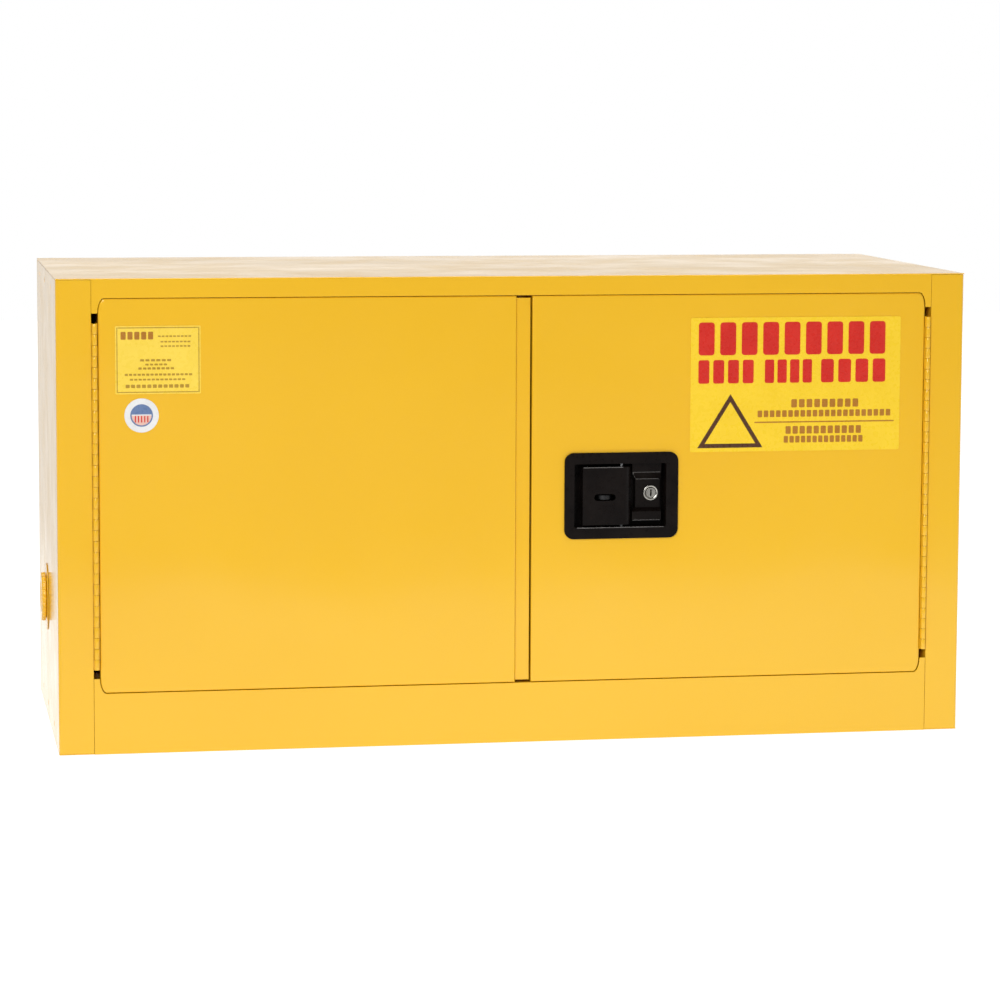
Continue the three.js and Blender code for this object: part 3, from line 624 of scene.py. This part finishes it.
def small_label(bm):
    low, centre, size, face = add_film(bm, "small_label", 1.5 * MM, 5)
    for sign in (-1, 1):
        upright = (centre[0] + sign * (size[0] / 2 - BORDER_INSET), centre[1])
        level = (centre[0], centre[1] + sign * (size[1] / 2 - BORDER_INSET))
        lines = (
            (upright, (BORDER_WIDTH, size[1] - UPRIGHT_SHORT)),
            (level, (size[0] - LEVEL_SHORT, BORDER_WIDTH)),
        )
        for middle, line in lines:
            add_slab(bm, rounded_outline(middle, line, 0.3 * MM, 2), face - INK, face - INK / 4, 1)
    add_rows(bm, SMALL_ROWS, low, size, face)


def round_sticker(bm):
    """A white disc with a ring round a blue upper half and a pale lower half with five plain stripes."""
    low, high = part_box("round_sticker")
    radius = (high.z - low.z) / 2
    _, centre, _, face = add_film(bm, "round_sticker", radius * 0.999, 16)
    inner = radius * PICTURE_SHARE
    for start, lift, ink in ((0, UPPER_LIFT, 1), (180, 0.0, 2)):
        half = []
        for i in range(HALF_STEPS + 1):
            angle = math.radians(start + 180 * i / HALF_STEPS)
            x = centre[0] + inner * math.cos(angle)
            z = centre[1] + inner * (math.sin(angle) * PICTURE_TALL + lift)
            half.append((x, z))
        add_slab(bm, half, face - INK, face - INK / 4, ink)
    stripe_size = (STRIPE_SIZE[0] * inner, STRIPE_SIZE[1] * inner)
    for i in range(-2, 3):
        middle = (centre[0] + i * STRIPE_PITCH * inner, centre[1] - STRIPE_DROP * inner)
        stripe = rounded_outline(middle, stripe_size, STRIPE_ROUNDING * inner, 2)
        add_slab(bm, stripe, face - 1.6 * INK, face - INK, 3)
    ring_inner, ring_outer = (share * inner for share in RING_SHARES)
    add_ring(bm, centre, ring_inner, ring_outer, face - 1.3 * INK, face - INK / 4, 1)


def add_labels():
    small_inks = [PALE_YELLOW, INK_OLIVE, INK_BROWN]
    front_inks = [LABEL_YELLOW, INK_RED, INK_BROWN, INK_DARK]
    round_inks = [STICKER_WHITE, STICKER_BLUE, STICKER_PINK, INK_RED]
    labels = (
        ("front_label", front_label, front_inks, "right_door", "front_label_face"),
        ("small_label", small_label, small_inks, "left_door", "white_label_face"),
        ("round_sticker", round_sticker, round_inks, "left_door", "white_label_face"),
    )
    for node, build, inks, body, slot in labels:
        finish_piece(f"{node}_print", build, inks, body, [node])


# Turned and repeated pieces


def add_turned(bm, place, profile, sides, closed=False, flutes_beyond=None):
    """A turned shape about place's z axis, from (radius, height) pairs in mm."""
    rings = []
    for radius, height in profile:
        if radius == 0:
            rings.append([bm.verts.new(place @ Vector((0, 0, height * MM)))])
            continue
        ring = []
        for i in range(sides):
            angle = 2 * math.pi * i / sides
            reach = radius
            if flutes_beyond is not None and radius > flutes_beyond:
                reach -= FLUTE_DEPTH * (0.5 - 0.5 * math.cos(FLUTE_COUNT * angle)) ** 2
            spot = Vector((reach * math.cos(angle), reach * math.sin(angle), height)) * MM
            ring.append(bm.verts.new(place @ spot))
        rings.append(ring)
    following = rings[1:] + (rings[:1] if closed else [])
    for low, high in zip(rings, following):
        for i in range(sides):
            j = (i + 1) % sides
            if len(low) == 1:
                bm.faces.new((low[0], high[i], high[j]))
            elif len(high) == 1:
                bm.faces.new((low[i], low[j], high[0]))
            else:
                bm.faces.new((low[i], low[j], high[j], high[i]))


def add_box(bm, low, high, place=Matrix()):
    """A box between two corners, its vertices counted in binary as x, y, z."""
    corners = []
    for x in (low[0], high[0]):
        for y in (low[1], high[1]):
            for z in (low[2], high[2]):
                corners.append(bm.verts.new(place @ Vector((x, y, z))))
    for face in ((0, 1, 3, 2), (4, 6, 7, 5), (0, 4, 5, 1), (2, 3, 7, 6), (0, 2, 6, 4), (1, 5, 7, 3)):
        bm.faces.new([corners[i] for i in face])


def knuckle_profile(tall):
    """Half the section of one knuckle: its bore, and an outside with eased ends."""
    radius = KNUCKLE_RADIUS
    return [
        (KNUCKLE_BORE, 0),
        (radius - 0.35, 0),
        (radius - 0.1, 0.1),
        (radius, 0.35),
        (radius, tall - 0.35),
        (radius - 0.1, tall - 0.1),
        (radius - 0.35, tall),
        (KNUCKLE_BORE, tall),
    ]


def hinge_leaf(node, side, first_knuckle, leaf_side):
    """One leaf of a piano hinge: a plate with every second knuckle of the barrel."""
    low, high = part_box(node)
    pin_x = side * (HALF_WIDTH - PIN_INSET)
    pin_y = FRONT - PIN_PROUD
    outside = pin_x + leaf_side * LEAF_OFFSET
    inside = outside - leaf_side * LEAF_SHEET
    neck = pin_x + leaf_side * (KNUCKLE_BORE + NECK_CLEARANCE) * MM
    plate_front = pin_y + (KNUCKLE_RADIUS + PLATE_CLEARANCE) * MM
    neck_front = pin_y + NECK_DEPTHS[0]
    neck_back = pin_y + NECK_DEPTHS[1]
    length = KNUCKLE_PITCH - 2 * KNUCKLE_GAP

    def build(bm):
        plate_low, plate_high = sorted((inside, outside))
        add_box(bm, (plate_low, plate_front, low.z), (plate_high, high.y, high.z))
        neck_low, neck_high = sorted((neck, outside))
        for i in range(first_knuckle, KNUCKLE_COUNT, 2):
            foot = low.z + i * KNUCKLE_PITCH + KNUCKLE_GAP
            place = Matrix.Translation((pin_x, pin_y, foot))
            add_turned(bm, place, knuckle_profile(length / MM), KNUCKLE_SIDES, closed=True)
            add_box(bm, (neck_low, neck_front, foot), (neck_high, neck_back, foot + length))

    return build


def add_hinges():
    for name, side in (("left", -1), ("right", 1)):
        leaves = (
            ("frame_leaf", 0, side, "cabinet"),
            ("door_leaf", 1, -side, f"{name}_door"),
        )
        for kind, first, leaf_side, body in leaves:
            node = f"{name}_{kind}"
            build = hinge_leaf(node, side, first, leaf_side)
            piece = finish_piece(f"{node}_knuckles", build, [PAINT], body, [node])
            smooth_faces(piece)


def vent_place(side_name, side):
    """The vent's axis at the outer face of the side panel, with z pointing out of the cabinet."""
    low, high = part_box(f"{side_name}_vent_sleeve")
    centre = (side * HALF_WIDTH, (low.y + high.y) / 2, (low.z + high.z) / 2)
    return Matrix.Translation(centre) @ Matrix.Rotation(side * math.pi / 2, 4, "Y")


def vent_sleeve(place):
    """A tube through both walls, with a stepped flange and four rivets outside."""
    profile = [
        (21.6, -42), (25, -42), (25, 0.3), (41.1, 0.3), (41.5, 0.6), (41.5, 0.9), (41.2, 1.2), (40.6, 1.3),
        (27.2, 1.3), (26.6, 1.5), (26.0, 1.9), (25.4, 2.0), (22.6, 2.0), (21.9, 1.8), (21.6, 1.3),
    ]
    rivet = [(0, 1.0), (2.4, 1.0), (2.3, 1.4), (1.7, 1.8), (0.9, 1.98), (0, 2.0)]

    def build(bm):
        add_turned(bm, place, profile, 96, closed=True)
        for quarter in range(4):
            turn = Matrix.Rotation(math.radians(45 + 90 * quarter), 4, "Z")
            spot = turn @ Matrix.Translation((RIVET_CIRCLE * MM, 0, 0))
            add_turned(bm, place @ spot, rivet, 20)

    return build


def vent_bung(place):
    """A moulded bung: fluted rim, sunk middle and a bar across it to pull on."""
    profile = [
        (0, -10), (19.8, -12), (20.6, -11.2), (20.6, 2.3), (29.2, 2.3), (29.8, 2.7), (30, 3.3), (30, 5.6),
        (29.7, 6.6), (29.0, 7.3), (28.0, 7.6), (19.2, 7.6), (18.4, 7.4), (17.9, 6.9), (16.9, 5.0),
        (16.2, 4.6), (15.0, 4.5), (0, 4.5),
    ]
    grip_low = Vector((-GRIP_HALF_LENGTH, -GRIP_HALF_WIDTH, GRIP_HEIGHTS[0])) * MM
    grip_high = Vector((GRIP_HALF_LENGTH, GRIP_HALF_WIDTH, GRIP_HEIGHTS[1])) * MM

    def build(bm):
        add_turned(bm, place, profile, 192, flutes_beyond=FLUTED_BEYOND)
        add_box(bm, grip_low, grip_high, place)

    return build


def flame_screen(place):
    """Two layers of crossed wires in a ring."""
    ring = [(19.4, -40), (20.8, -40), (20.8, -38.5), (19.4, -38.5)]
    count = int(19.0 / WIRE_PITCH)

    def build(bm):
        add_turned(bm, place, ring, 64, closed=True)
        for layer, height in enumerate(WIRE_LAYERS):
            for i in range(-count, count + 1):
                offset = i * WIRE_PITCH
                half = math.sqrt(SCREEN_RADIUS ** 2 - offset ** 2)
                turn = Matrix.Rotation(math.pi / 2 * layer, 4, "Z")
                across = turn @ Matrix.Translation((0, offset * MM, height * MM))
                along = Matrix.Rotation(math.pi / 2, 4, "Y")
                wire = [(0, -half), (WIRE_RADIUS, -half), (WIRE_RADIUS, half), (0, half)]
                add_turned(bm, place @ across @ along, wire, 8)

    return build


def add_vents():
    for name, side in (("left", -1), ("right", 1)):
        place = vent_place(name, side)
        parts = (
            ("vent_sleeve", vent_sleeve, PAINT, "cabinet", "yellow_paint"),
            ("vent_bung", vent_bung, PAINT, f"{name}_vent_bung", "yellow_paint"),
            ("flame_screen", flame_screen, BRASS, "cabinet", "brass_fittings"),
        )
        for kind, make, material, body, slot in parts:
            node = f"{name}_{kind}"
            piece = finish_piece(f"{node}_detail", make(place), [material], body, [node])
            smooth_faces(piece)


# Handle: the lock's ring and the beads of painted highlight along its edges


def lock_ring(bm):
    """The lock's barrel with a rounded, slightly sunk rim."""
    low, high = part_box("lock_body")
    centre = ((low.x + high.x) / 2, FRONT, (low.z + high.z) / 2)
    place = Matrix.Translation(centre) @ Matrix.Rotation(-math.pi / 2, 4, "X")
    profile = [
        (6.3, 10.6), (6.5, 10.1), (7.0, 9.7), (7.8, 9.45), (8.5, 9.4), (9.0, 9.6), (9.3, 10.0),
        (9.4, 10.5), (9.4, 11.7), (8, 11.7), (8, 30), (6.3, 30),
    ]
    add_turned(bm, place, profile, 72, closed=True)


def add_lock():
    piece = finish_piece("lock_body_ring", lock_ring, [CHROME], "right_door", ["lock_body"])
    smooth_faces(piece)


# Start and end of each bead of painted highlight about the handle's centre, with its radius, all in mm.
PADDLE_EDGES = (
    ((-46.2, -1.0, 33.9), (2.0, -1.0, 33.9), 0.75),
    ((-46.6, -1.0, -34.7), (-46.6, -1.0, 33.5), 0.5),
    ((-46.2, -1.0, -35.1), (2.0, -1.0, -35.1), 0.4),
)
TRAY_EDGES = (
    ((14.8, 4.3, 27.0), (20.0, 12.0, 18.0), 0.8),
    ((20.6, 12.0, 18.0), (48.6, 12.0, 18.0), 0.5),
    ((15.2, 4.2, 27.0), (48.6, 4.2, 27.0), 0.4),
    ((15.2, 4.2, -30.8), (48.6, 4.2, -30.8), 0.5),
    ((-54.0, -2.3, -38.4), (51.4, -2.3, -38.4), 0.5),
)


def painted_highlight_edges(edges):
    """Fine round beads along the handle's edges, lighter than the enamel beside them: they stand for the
    rounded edges, and their lighter colour is painted highlight.
    """
    low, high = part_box("handle_tray")
    centre = Vector(((low.x + high.x) / 2, low.y + TRAY_PROUD * MM, (low.z + high.z) / 2))

    def build(bm):
        for start, end, radius in edges:
            along = Vector(end) - Vector(start)
            turn = along.to_track_quat("Z", "Y").to_matrix().to_4x4()
            place = Matrix.Translation(centre + Vector(start) * MM) @ turn
            length = along.length
            add_turned(bm, place, [(0, 0), (radius, 0), (radius, length), (0, length)], EDGE_SIDES)

    return build


def add_handle_edges():
    for name, edges, body in (("paddle", PADDLE_EDGES, "paddle"), ("tray", TRAY_EDGES, "right_door")):
        build = painted_highlight_edges(edges)
        # Beads of lighter metal on the paddle and the tray: painted highlight along their edges.
        piece = finish_piece(f"{name}_painted_highlight_edges", build, [PAINTED_HIGHLIGHT_EDGE], body)
        smooth_faces(piece)


add_camera()
add_world()
for light in LIGHTS:
    add_area_light(*light)
add_floor()
dress_nodes()
add_labels()
add_hinges()
add_vents()
add_lock()
add_handle_edges()
